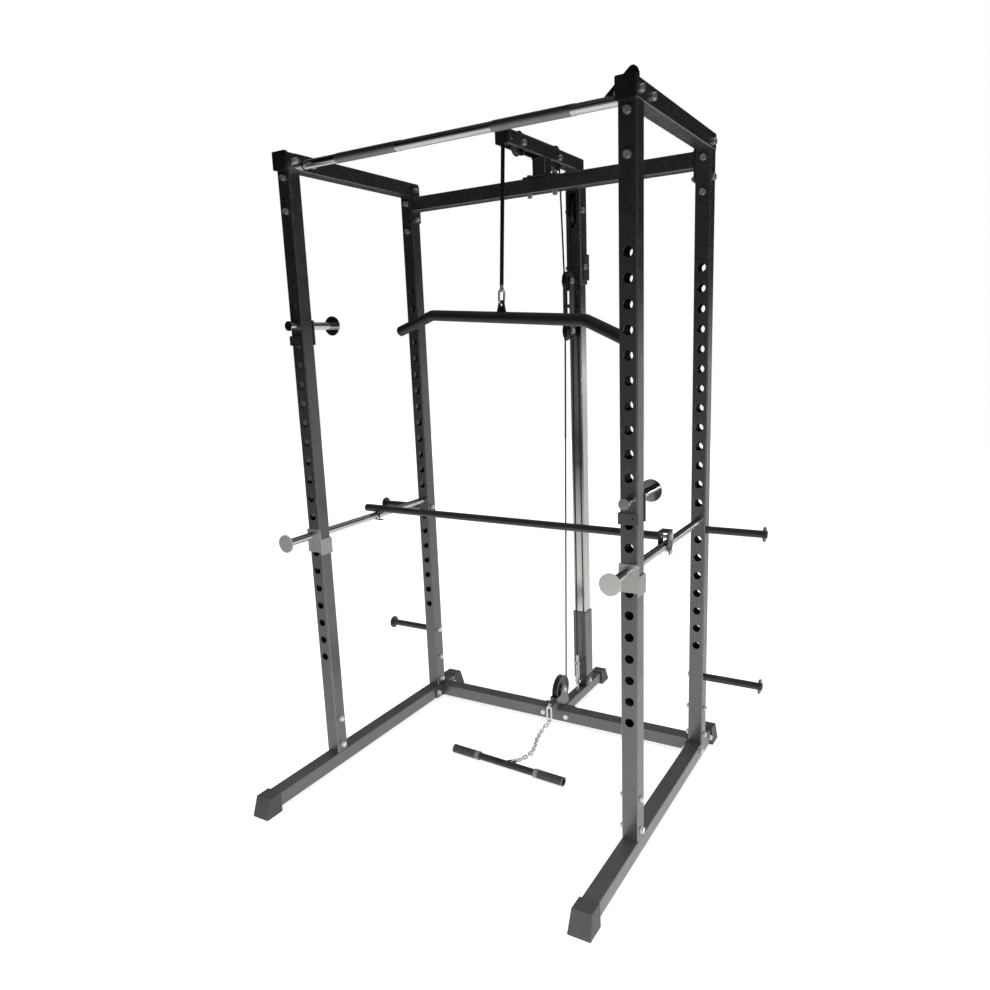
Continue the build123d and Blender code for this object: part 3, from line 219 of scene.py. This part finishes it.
class Surface(Tree):
    """A material's tree, around its Principled shader."""

    sockets = {"colour": "Base Color", "metal": "Metallic", "rough": "Roughness", "ior": "IOR"}

    def __init__(self, name):
        self.material = bpy.data.materials.new(name)
        self.material.use_nodes = True
        super().__init__(self.material.node_tree)
        self.shader = self.tree.nodes["Principled BSDF"]
        self.place = self.add("ShaderNodeTexCoord").outputs["Object"]

    def axis(self, name):
        return self.split(self.place)[name]

    def noise(self, scale, detail, rough):
        node = self.add("ShaderNodeTexNoise")
        node.inputs["Scale"].default_value = scale
        node.inputs["Detail"].default_value = detail
        node.inputs["Roughness"].default_value = rough
        self.link(self.place, node.inputs["Vector"])
        return node.outputs["Fac"]

    def cells(self, scale):
        node = self.add("ShaderNodeTexVoronoi")
        node.inputs["Scale"].default_value = scale
        self.link(self.place, node.inputs["Vector"])
        return node.outputs["Distance"]

    def bump(self, height, distance, strength):
        node = self.add("ShaderNodeBump")
        node.inputs["Distance"].default_value = distance
        node.inputs["Strength"].default_value = strength
        self.link(height, node.inputs["Height"])
        self.link(node.outputs["Normal"], self.shader.inputs["Normal"])

    def set(self, **values):
        for key, value in values.items():
            self.feed(value, self.shader.inputs[self.sockets[key]])


# ------------------------------------------------------------------ materials
def painted_corner_highlight(m, amount):
    """Painted highlight: mask of a square tube's rounded upright corners, where the normal is
    between x and y, broken up by noise.
    """
    normal = m.split(m.add("ShaderNodeNewGeometry").outputs["Normal"])
    corner = m.math("ABSOLUTE", m.math("MULTIPLY", normal["X"], normal["Y"]))
    highlight_breakup = m.math("ADD", m.math("MULTIPLY", m.noise(70.0, 4.0, 0.6), 0.5), 0.7)
    corner_highlight_mask = m.math("MULTIPLY", m.ranged(corner, 0.22, 0.42), highlight_breakup)
    return m.math("MULTIPLY", corner_highlight_mask, amount, clamp=True)


def inside_posts(m):
    """Mask of the space inside the four posts, where shade is painted near black."""

    def near(value, centre):
        return m.math("LESS_THAN", m.math("ABSOLUTE", m.math("SUBTRACT", value, centre)), bore_half)

    columns = near(m.math("ABSOLUTE", m.axis("X")), column_x)
    rows = [near(m.axis("Y"), y) for y in column_ys]
    return m.math("MULTIPLY", columns, m.math("MAXIMUM", *rows))


def powder_coat(name, low, high, roughness, grain=1.0, ior=1.5, corner_highlight=0.0, painted_bore_shade=False):
    """Powder coat: orange peel, faint clouding, worn gloss and, if asked, painted highlights on
    corners.
    """
    m = Surface(name)
    colour = m.ramp(m.noise(9.0, 4.0, 0.6), [(0.3, low), (0.7, high)])
    if corner_highlight:
        # Painted highlight: the rounded corners are mixed towards light grey.
        colour = m.mixed(painted_corner_highlight(m, corner_highlight), colour, (0.55, 0.55, 0.56))
    if painted_bore_shade:
        # Painted shade: the inside of the posts and their holes are coloured near black.
        colour = m.mixed(inside_posts(m), colour, (0.006, 0.006, 0.007))
    wear = m.noise(26.0, 5.0, 0.65)
    m.set(colour=colour, ior=ior)
    m.set(rough=m.ramp(wear, [(0.3, roughness - 0.06), (0.75, roughness + 0.08)]))
    m.bump(m.noise(420.0, 1.0, 0.5), 0.00002 * grain, 0.3)
    return m.material


def polished(name, tone, roughness, dull=None):
    """Bright plated steel with faint haze and smudges.

    dull is (axis, plane, tone, metal), for the part whose coordinate is below the plane.
    """
    m = Surface(name)
    haze = m.noise(14.0, 4.0, 0.6)
    colour = m.ramp(haze, [(0.3, tuple(c * 0.94 for c in tone)), (0.75, tone)])
    metal = 1.0
    if dull:
        axis, plane, dull_tone, dull_metal = dull
        above = m.math("GREATER_THAN", m.axis(axis), plane)
        colour = m.mixed(above, dull_tone, colour)
        metal = m.ranged(above, 0.0, 1.0, dull_metal, 1.0)
    smudge = m.noise(40.0, 5.0, 0.7)
    m.set(colour=colour, metal=metal)
    m.set(rough=m.ramp(smudge, [(0.35, roughness), (0.8, roughness + 0.03)]))
    m.bump(m.noise(420.0, 2.0, 0.5), 0.00002, 0.35)
    return m.material


def zinc_plate(name, tone, roughness, metal):
    """Zinc plating: cloudy, matt, with small spangles."""
    m = Surface(name)
    cloud = m.noise(60.0, 4.0, 0.6)
    spangled = m.math("ADD", m.math("MULTIPLY", m.cells(420.0), 0.05), cloud)
    dark = tuple(c * 0.84 for c in tone)
    m.set(colour=m.ramp(spangled, [(0.35, dark), (0.85, tone)]), metal=metal)
    m.set(rough=m.ramp(cloud, [(0.3, roughness - 0.08), (0.8, roughness + 0.1)]))
    m.bump(m.noise(1500.0, 2.0, 0.5), 0.00001, 0.3)
    return m.material


def moulded(name, low, high, roughness, grain=0.00012):
    """Moulded plastic or rubber with a fine spark-eroded grain."""
    m = Surface(name)
    m.set(colour=m.ramp(m.noise(18.0, 4.0, 0.6), [(0.3, low), (0.75, high)]))
    wear = m.noise(55.0, 3.0, 0.6)
    m.set(rough=m.ramp(wear, [(0.3, roughness - 0.05), (0.8, roughness + 0.07)]))
    m.bump(m.cells(1100.0), grain, 0.35)
    return m.material


def knurled_chrome(name):
    """The pull-up bar: chrome, a diamond knurl on its two grips with painted shade in its grooves,
    and a painted gusset.
    """
    m = Surface(name)
    x, y, z = m.split(m.place)
    from_axis = m.math("SUBTRACT", z, pull_axis.z), m.math("SUBTRACT", y, pull_axis.y)
    turn = m.math("MULTIPLY", m.math("ARCTAN2", *from_axis), knurl_wraps)
    along = m.math("MULTIPLY", x, 2 * math.pi / knurl_pitch)
    first = m.math("SINE", m.math("ADD", along, turn))
    second = m.math("SINE", m.math("SUBTRACT", along, turn))
    diamond = m.math("MINIMUM", first, second)
    grips = [
        m.math("MULTIPLY", m.math("GREATER_THAN", x, start), m.math("LESS_THAN", x, end))
        for start, end in knurl_zones
    ]
    mask = m.math("MAXIMUM", *grips)
    cut = m.math("MULTIPLY", m.math("MULTIPLY", m.math("ADD", diamond, 1.0), 0.5), mask)
    # Painted shade: the knurl's grooves are darkened in the colour, nearly to black.
    shade = m.math("SUBTRACT", 1.0, m.math("MULTIPLY", m.math("SUBTRACT", mask, cut), 0.82))
    haze = m.math("ADD", m.math("MULTIPLY", m.noise(14.0, 4.0, 0.6), 0.12), 0.62)
    beyond = m.math("GREATER_THAN", x, gusset_x)
    above = m.math("GREATER_THAN", z, pull_axis.z + gusset_rise)
    gusset = m.math("MULTIPLY", beyond, above)
    plain = m.math("SUBTRACT", 1.0, gusset)
    bar = m.math("MULTIPLY", m.math("MULTIPLY", shade, haze), plain)
    tone = m.math("ADD", bar, m.math("MULTIPLY", gusset, 0.03))
    m.set(colour=m.ramp(tone, [(0.0, 0.0), (1.0, 1.0)]), metal=plain)
    m.set(rough=m.math("ADD", m.math("MULTIPLY", mask, 0.22), 0.13))
    m.bump(cut, 0.0004, 0.9)
    return m.material


# The frame's coat carries a painted highlight on its rounded corners, at strength 0.55.
frame_coat = {
    "low": (0.042, 0.0425, 0.045), "high": (0.060, 0.061, 0.064),
    "roughness": 0.27, "ior": 2.0, "corner_highlight": 0.55,
}
paint_with_corner_highlight = powder_coat("powder_black_corner_highlight", **frame_coat)
# The uprights also get painted shade inside their bores and holes.
upright_paint_highlight_bore_shade = powder_coat("upright_powder_black_highlight_bore_shade", **frame_coat, painted_bore_shade=True)
dark_paint = powder_coat(
    "dark_powder_black", (0.020, 0.020, 0.021), (0.032, 0.032, 0.033), 0.34, ior=1.6
)
satin = powder_coat("satin_black", (0.016, 0.016, 0.017), (0.026, 0.026, 0.027), 0.5, grain=1.6)
weld_paint = powder_coat("weld_paint", (0.022, 0.022, 0.024), (0.036, 0.036, 0.038), 0.4, grain=3.0)
chrome = polished("chrome", (0.70, 0.71, 0.72), 0.10)
faced_chrome = polished(
    "faced_chrome", (0.66, 0.67, 0.67), 0.24,
    dull=("Y", safety_disc_plane, (0.61, 0.605, 0.58), 0.15),
)
guide_chrome = polished(
    "guide_chrome", (0.62, 0.63, 0.60), 0.12,
    dull=("Z", carriage_foot, (0.04, 0.04, 0.042), 0.0),
)
knurl = knurled_chrome("knurled_chrome")
inner_steel = zinc_plate("inner_steel", (0.42, 0.42, 0.43), 0.45, 1.0)
zinc = zinc_plate("zinc", (0.50, 0.495, 0.475), 0.36, 0.3)
bright_zinc = zinc_plate("bright_zinc", (0.85, 0.85, 0.84), 0.22, 0.6)
bolt_zinc = zinc_plate("bolt_zinc", (0.84, 0.84, 0.83), 0.2, 0.45)
band = moulded("grip_band", (0.13, 0.13, 0.125), (0.21, 0.21, 0.20), 0.5)
shoe = moulded("shoe_plastic", (0.040, 0.040, 0.044), (0.062, 0.062, 0.066), 0.5)
cap = moulded("cap_plastic", (0.012, 0.012, 0.013), (0.022, 0.022, 0.024), 0.45)
wheel = moulded("wheel_plastic", (0.014, 0.014, 0.016), (0.026, 0.026, 0.028), 0.38)
coat = moulded("cable_coat", (0.008, 0.008, 0.009), (0.016, 0.016, 0.018), 0.34, 0.00004)
rubber = moulded("rubber", (0.035, 0.035, 0.036), (0.055, 0.055, 0.056), 0.62)


def paint_node(name, material):
    mesh = nodes[name].data
    mesh.materials.clear()
    mesh.materials.append(material)
    for polygon in mesh.polygons:
        polygon.material_index = 0


finishes = {
    paint_with_corner_highlight: (
        "base_beam_left base_beam_right top_beam_left top_beam_right rear_cross_upper "
        "rear_cross_lower lat_arm tower_post guide_clamp tower_base low_pulley_bracket "
        "weight_carriage catch_bracket_left catch_bracket_right block_straps"
    ),
    dark_paint: "hold_down_fittings hold_down_bar storage_pegs",
    upright_paint_highlight_bore_shade: (
        "upright_front_left upright_front_right upright_rear_left upright_rear_right"
    ),
    satin: "lat_bar low_bar",
    inner_steel: "spigots",
    chrome: "catch_rod_left catch_rod_right",
    guide_chrome: "guide_tube",
    faced_chrome: "safety_bar_left safety_bar_right",
    knurl: "pull_up_bar",
    zinc: "safety_bracket_left safety_bracket_right frame_washers",
    bolt_zinc: "frame_bolts frame_nuts pulley_axles block_axles hold_down_pins",
    bright_zinc: "cable_anchor lat_snap_hook low_snap_hook pull_chain",
    shoe: "feet_front feet_rear foot_tower",
    cap: "beam_end_caps",
    wheel: (
        "pulley_arm_front pulley_arm_rear pulley_nose pulley_tower_top pulley_low "
        "pulley_block_top pulley_block_low"
    ),
    coat: "high_cable low_cable lat_cable_sleeve",
    rubber: "low_bar_grips low_cable_stopper tower_bumper",
}
for material, names in finishes.items():
    for name in names.split():
        paint_node(name, material)


# ------------------------------------------------------------------ edges and plating
def soften(names, width, segments=2):
    """Break the sharp edges of CAD pieces, so they catch the light as rolled metal does."""
    for name in names.split():
        bevel = nodes[name].modifiers.new("broken_edges", "BEVEL")
        bevel.width = width
        bevel.segments = segments
        bevel.limit_method = "ANGLE"
        bevel.angle_limit = math.radians(50)
        bevel.use_clamp_overlap = True
        bevel.harden_normals = True


def thicken(names):
    """Plating on thin hooks and links, which stand proud of the solids by its thickness."""
    for name in names.split():
        plating = nodes[name].modifiers.new("plating", "DISPLACE")
        plating.strength = skin
        plating.mid_level = 0.0


soften("frame_bolts pulley_axles block_axles hold_down_pins", 0.0026, 3)
soften("frame_nuts", 0.0012)
soften("safety_bar_left safety_bar_right catch_rod_left catch_rod_right storage_pegs", 0.0012)
soften("safety_bracket_left safety_bracket_right catch_bracket_left catch_bracket_right", 0.0008)
soften("feet_front feet_rear foot_tower beam_end_caps", 0.0016)
thicken("pull_chain low_snap_hook lat_snap_hook cable_anchor")


# ------------------------------------------------------------------ pieces
def add_piece(name, mesh, material, smooth=True):
    mesh.materials.clear()
    mesh.materials.append(material)
    if smooth:
        mesh.shade_smooth()
    piece = bpy.data.objects.new(name, mesh)
    scene.collection.objects.link(piece)
    return piece


def mesh_of(name, work):
    mesh = bpy.data.meshes.new(name)
    work.to_mesh(mesh)
    work.free()
    return mesh


def join_rings(work, rings):
    """Faces from each ring of points to the next, and from the last one to the first."""
    for first, second in zip(rings, rings[1:] + rings[:1]):
        count = len(first)
        for k in range(count):
            n = (k + 1) % count
            work.faces.new((first[k], first[n], second[n], second[k]))


def points_of(name):
    points = np.empty(len(nodes[name].data.vertices) * 3)
    nodes[name].data.vertices.foreach_get("co", points)
    return points.reshape(-1, 3)


# ------------------------------------------------------------------ cables
def cable_span(name, node, low_y, high_y):
    """Stretch of a taut CAD cable between two planes."""
    work = bmesh.new()
    work.from_mesh(nodes[node].data)
    for y, inner in ((low_y, False), (high_y, True)):
        if y is None:
            continue
        geometry = work.verts[:] + work.edges[:] + work.faces[:]
        bmesh.ops.bisect_plane(
            work, geom=geometry, plane_co=(0, y, 0), plane_no=(0, 1, 0), dist=1e-7,
            clear_outer=inner, clear_inner=not inner,
        )
    for vert in work.verts:
        vert.co += skin * vert.normal
    piece = add_piece(name, mesh_of(name, work), coat)
    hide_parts(node)
    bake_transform(piece)


def add_cables():
    """Both cables, split at the wheels."""
    rear = middle("pulley_arm_rear")
    top = middle("pulley_tower_top")
    low = middle("pulley_low")
    cable_span(
        "high_cable_front", "high_cable", None, rear.y,
    )
    cable_span(
        "high_cable_block", "high_cable", rear.y, top.y,
    )
    cable_span(
        "high_cable_rear", "high_cable", top.y, None,
    )
    cable_span(
        "low_cable_front", "low_cable", None, low.y,
    )
    cable_span(
        "low_cable_block", "low_cable", low.y, None,
    )


# ------------------------------------------------------------------ welds
def walked_path(points):
    """Close steps along a closed loop, as (point, distance walked), and its whole length."""
    path, walked = [], 0.0
    for a, b in zip(points, points[1:] + points[:1]):
        length = (b - a).length
        steps = max(1, round(length / weld_step))
        for k in range(steps):
            path.append((a.lerp(b, k / steps), walked + length * k / steps))
        walked += length
    return path, walked


def bead_mesh(name, loops, radius, sides=7):
    """Weld beads: closed lumpy tubes along loops of points, with overlapping ripples."""
    work = bmesh.new()
    for points in loops:
        centre = sum(points, Vector()) / len(points)
        path, total = walked_path(points)
        ripples = max(8, round(total / ripple_length))
        rings = []
        for index, (point, at) in enumerate(path):
            ahead = (path[(index + 1) % len(path)][0] - path[index - 1][0]).normalized()
            side = ahead.cross((point - centre).normalized()).normalized()
            outward = side.cross(ahead)
            swell = radius * (0.86 + 0.22 * ((at / total * ripples) % 1.0))
            ring = []
            for k in range(sides):
                angle = 2 * math.pi * k / sides
                offset = math.cos(angle) * outward + math.sin(angle) * side
                ring.append(work.verts.new(point + swell * offset))
            rings.append(ring)
        join_rings(work, rings)
    bmesh.ops.recalc_face_normals(work, faces=work.faces[:])
    return mesh_of(name, work)


def square_loop(centre, first, second, half, corner=0.004, steps=5):
    points = []
    for k, (a, b) in enumerate(((1, 1), (-1, 1), (-1, -1), (1, -1))):
        hub = centre + (half - corner) * (a * first + b * second)
        for step in range(steps + 1):
            angle = math.radians(90 * k + 90 * step / steps)
            points.append(hub + corner * (math.cos(angle) * first + math.sin(angle) * second))
    return points


def round_loop(centre, first, second, radius, count=36):
    turns = [2 * math.pi * k / count for k in range(count)]
    return [centre + radius * (math.cos(t) * first + math.sin(t) * second) for t in turns]


def beam_centre(name):
    """Middle of a cross beam's section, measured clear of its end plates."""
    points = points_of(name)
    core = points[np.abs(points[:, 0]) < core_reach]
    y, z = (core.min(axis=0) + core.max(axis=0))[1:] / 2
    return Vector((0, y, z))


def add_welds():
    """Fillet welds where the frame's tubes meet their plates."""
    wall = column_x - tube_half - plate
    loops = []
    for node in ("rear_cross_upper", "rear_cross_lower"):
        centre = beam_centre(node)
        for sign in (-1, 1):
            loops.append(square_loop(centre + sign * wall * X, Y, Z, tube_half + weld_stand))
    for sign in (-1, 1):
        centre = pull_axis + sign * wall * X
        loops.append(round_loop(centre, Y, Z, pull_up_radius + weld_stand))
    arm_low, arm_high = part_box("lat_arm")
    rear_y = middle("upright_rear_left").y
    underside = arm_high[2] - arm_tube
    for y, z, half in (
        (rear_y, arm_low[2] + plate, tube_half),
        (rear_y, underside, tube_half),
        (middle("tower_post").y, underside, post_half),
    ):
        loops.append(square_loop(Vector((0, y, z)), X, Y, half + weld_stand))
    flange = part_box("tower_base")[0][1] + plate
    loops.append(square_loop(Vector((0, flange, base_height)), X, Z, base_half + weld_stand))
    mesh = bead_mesh("weld_beads", loops, weld_radius)
    piece = add_piece("weld_beads", mesh, weld_paint)
    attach(piece, "frame")


# ------------------------------------------------------------------ grip bands
def spun(name, start, along, outline, count=40):
    """Solid of revolution about an axis; the outline is (distance along, radius) pairs."""
    side = along.orthogonal().normalized()
    other = along.cross(side)
    work = bmesh.new()
    rings = []
    for at, radius in outline:
        ring = []
        for k in range(count):
            turn = 2 * math.pi * k / count
            spoke = math.cos(turn) * side + math.sin(turn) * other
            ring.append(work.verts.new(start + at * along + radius * spoke))
        rings.append(ring)
    join_rings(work, rings)
    bmesh.ops.recalc_face_normals(work, faces=work.faces[:])
    return mesh_of(name, work)


def add_grip_bands():
    """Pale bands at the inner ends of the low bar's grips, and rings at their tips."""
    grips = points_of("low_bar_grips")
    centre = grips.mean(axis=0)
    along = np.linalg.svd(grips - centre, full_matrices=False)[2][0]
    reach = (grips - centre) @ along
    radial = np.linalg.norm(grips - centre - np.outer(reach, along), axis=1)
    radius = float(np.median(radial[radial > radial.max() * 0.9]))
    proud, low = radius + skin, radius - sunk
    axis = Vector(along)
    for side, sign in (("left", -1), ("right", 1)):
        ends = sign * reach[sign * reach > 0]
        trims = ("band", ends.min(), band_width), ("ring", ends.max() - ring_inset, ring_width)
        for kind, at, width in trims:
            start = Vector(centre) + sign * float(at) * axis
            outline = [(0, low), (0, proud - rim), (rim, proud), (width, proud)]
            outline += [(width + rim, proud - rim), (width + rim, low)]
            name = f"grip_{kind}_{side}"
            piece = add_piece(name, spun(name, start, sign * axis, outline), band, smooth=False)
            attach(piece, "low_handle")


add_cables()
add_welds()
add_grip_bands()


# ------------------------------------------------------------------ light and floor
# From straight down, 0, over the horizon, 0.5, to straight up, 1.
sky_tones = (
    (0.0, 0.8), (0.49, 0.7), (0.52, 0.06), (0.56, 0.02), (0.68, 0.02), (0.80, 0.30), (1.0, 0.12),
)


def add_world():
    """White to the camera. To the rest: bright below the horizon, dark above it, dim on top."""
    world = bpy.data.worlds.new("studio")
    scene.world = world
    world.use_nodes = True
    world.node_tree.nodes.clear()
    t = Tree(world.node_tree)
    across, depth, height = t.split(t.add("ShaderNodeTexCoord").outputs["Generated"])
    rise = t.math("MULTIPLY_ADD", height, 0.5, 0.5)
    tone = t.ramp(rise, [(at, (grey, grey, grey * 1.02)) for at, grey in sky_tones])
    side = t.math("MAXIMUM", t.ranged(across, -0.15, 0.1, 0.03, 1.0), t.ranged(height, 0.0, 0.3))
    rear = t.math("MULTIPLY", t.ranged(depth, -0.1, 0.6), side)
    left = t.ranged(across, -0.65, -0.25, 0.03, 0.3)
    front = t.math("MULTIPLY", t.ranged(depth, 0.1, -0.3), left)
    lit = t.glow("ShaderNodeBackground", tone, t.math("MAXIMUM", rear, front))
    seen = t.glow("ShaderNodeBackground", (1, 1, 1), 1.0)
    t.finish("ShaderNodeOutputWorld", seen, lit)


def add_floor():
    """Pale to the camera, with shadows; to the rest a glow, which mirrors see reach further."""
    half = 9.0
    mesh = bpy.data.meshes.new("floor")
    corners = [(-half, -half, 0), (half, -half, 0), (half, half, 0), (-half, half, 0)]
    mesh.from_pydata(corners, [], [(0, 1, 2, 3)])
    floor = bpy.data.objects.new("floor", mesh)
    scene.collection.objects.link(floor)
    material = bpy.data.materials.new("floor")
    material.use_nodes = True
    material.node_tree.nodes.clear()
    t = Tree(material.node_tree)
    place = t.add("ShaderNodeTexCoord").outputs["Object"]
    across, depth, _ = t.split(place)
    near = t.ranged(t.distance(place, (0.7, -0.8, 0)), 0.4, 2.4, 1.9, 0.04)
    ahead = t.ranged(t.distance(place, (0.5, 0.2, 0)), 0.3, 8.0, 1.0, 0.03, "SMOOTHSTEP")
    right = t.ranged(across, -1.0, 0.4)
    behind = t.math("MULTIPLY", t.ranged(depth, 0.6, 3.0, 0.0, 0.75), right)
    mirrored = t.math("MAXIMUM", ahead, behind)
    glossy = t.add("ShaderNodeLightPath").outputs["Is Glossy Ray"]
    strength = t.mixed(glossy, near, mirrored, "FLOAT")
    shaded = t.add("ShaderNodeBsdfDiffuse")
    shaded.inputs["Color"].default_value = (0.5, 0.5, 0.5, 1)
    seen = t.add("ShaderNodeAddShader")
    t.link(t.glow("ShaderNodeEmission", (1, 1, 1), 0.8), seen.inputs[0])
    t.link(shaded.outputs["BSDF"], seen.inputs[1])
    lit = t.glow("ShaderNodeEmission", (1, 1, 1), strength)
    t.finish("ShaderNodeOutputMaterial", seen.outputs["Shader"], lit)
    material.cycles.emission_sampling = "NONE"
    mesh.materials.append(material)


def add_light(name, kind, power, place):
    data = bpy.data.lights.new(name, kind)
    data.energy = power
    light = bpy.data.objects.new(name, data)
    light.location = place
    scene.collection.objects.link(light)
    return light


def add_spot(name, place, aim, power, angle, radius=0.5):
    light = add_light(name, "SPOT", power, place)
    light.data.spot_size = math.radians(angle)
    light.data.spot_blend = 1.0
    light.data.shadow_soft_size = radius
    light.rotation_euler = (Vector(aim) - Vector(place)).to_track_quat("-Z", "Y").to_euler()


def add_sun(strength, spread):
    """Soft light from straight above, which leaves no mirror glare on upward faces."""
    light = add_light("overhead", "SUN", strength, (0, 0, 4))
    light.data.angle = math.radians(spread)
    light.visible_glossy = False


add_world()
add_floor()
add_sun(2.8, 20.0)
add_spot("key_low", (2.2, -3.4, 0.9), (0.5, -0.5, 0.1), 260.0, 40.0)
add_spot("key_right", (3.4, -2.4, 0.8), (0.5, -1.1, 0.1), 260.0, 34.0)
add_spot("fill_left", (-3.0, -2.6, 0.9), (-0.3, -0.2, -0.1), 32.0, 40.0)
add_spot("back_low", (1.8, 3.6, 0.9), (0.1, 0.4, -0.1), 36.0, 40.0)
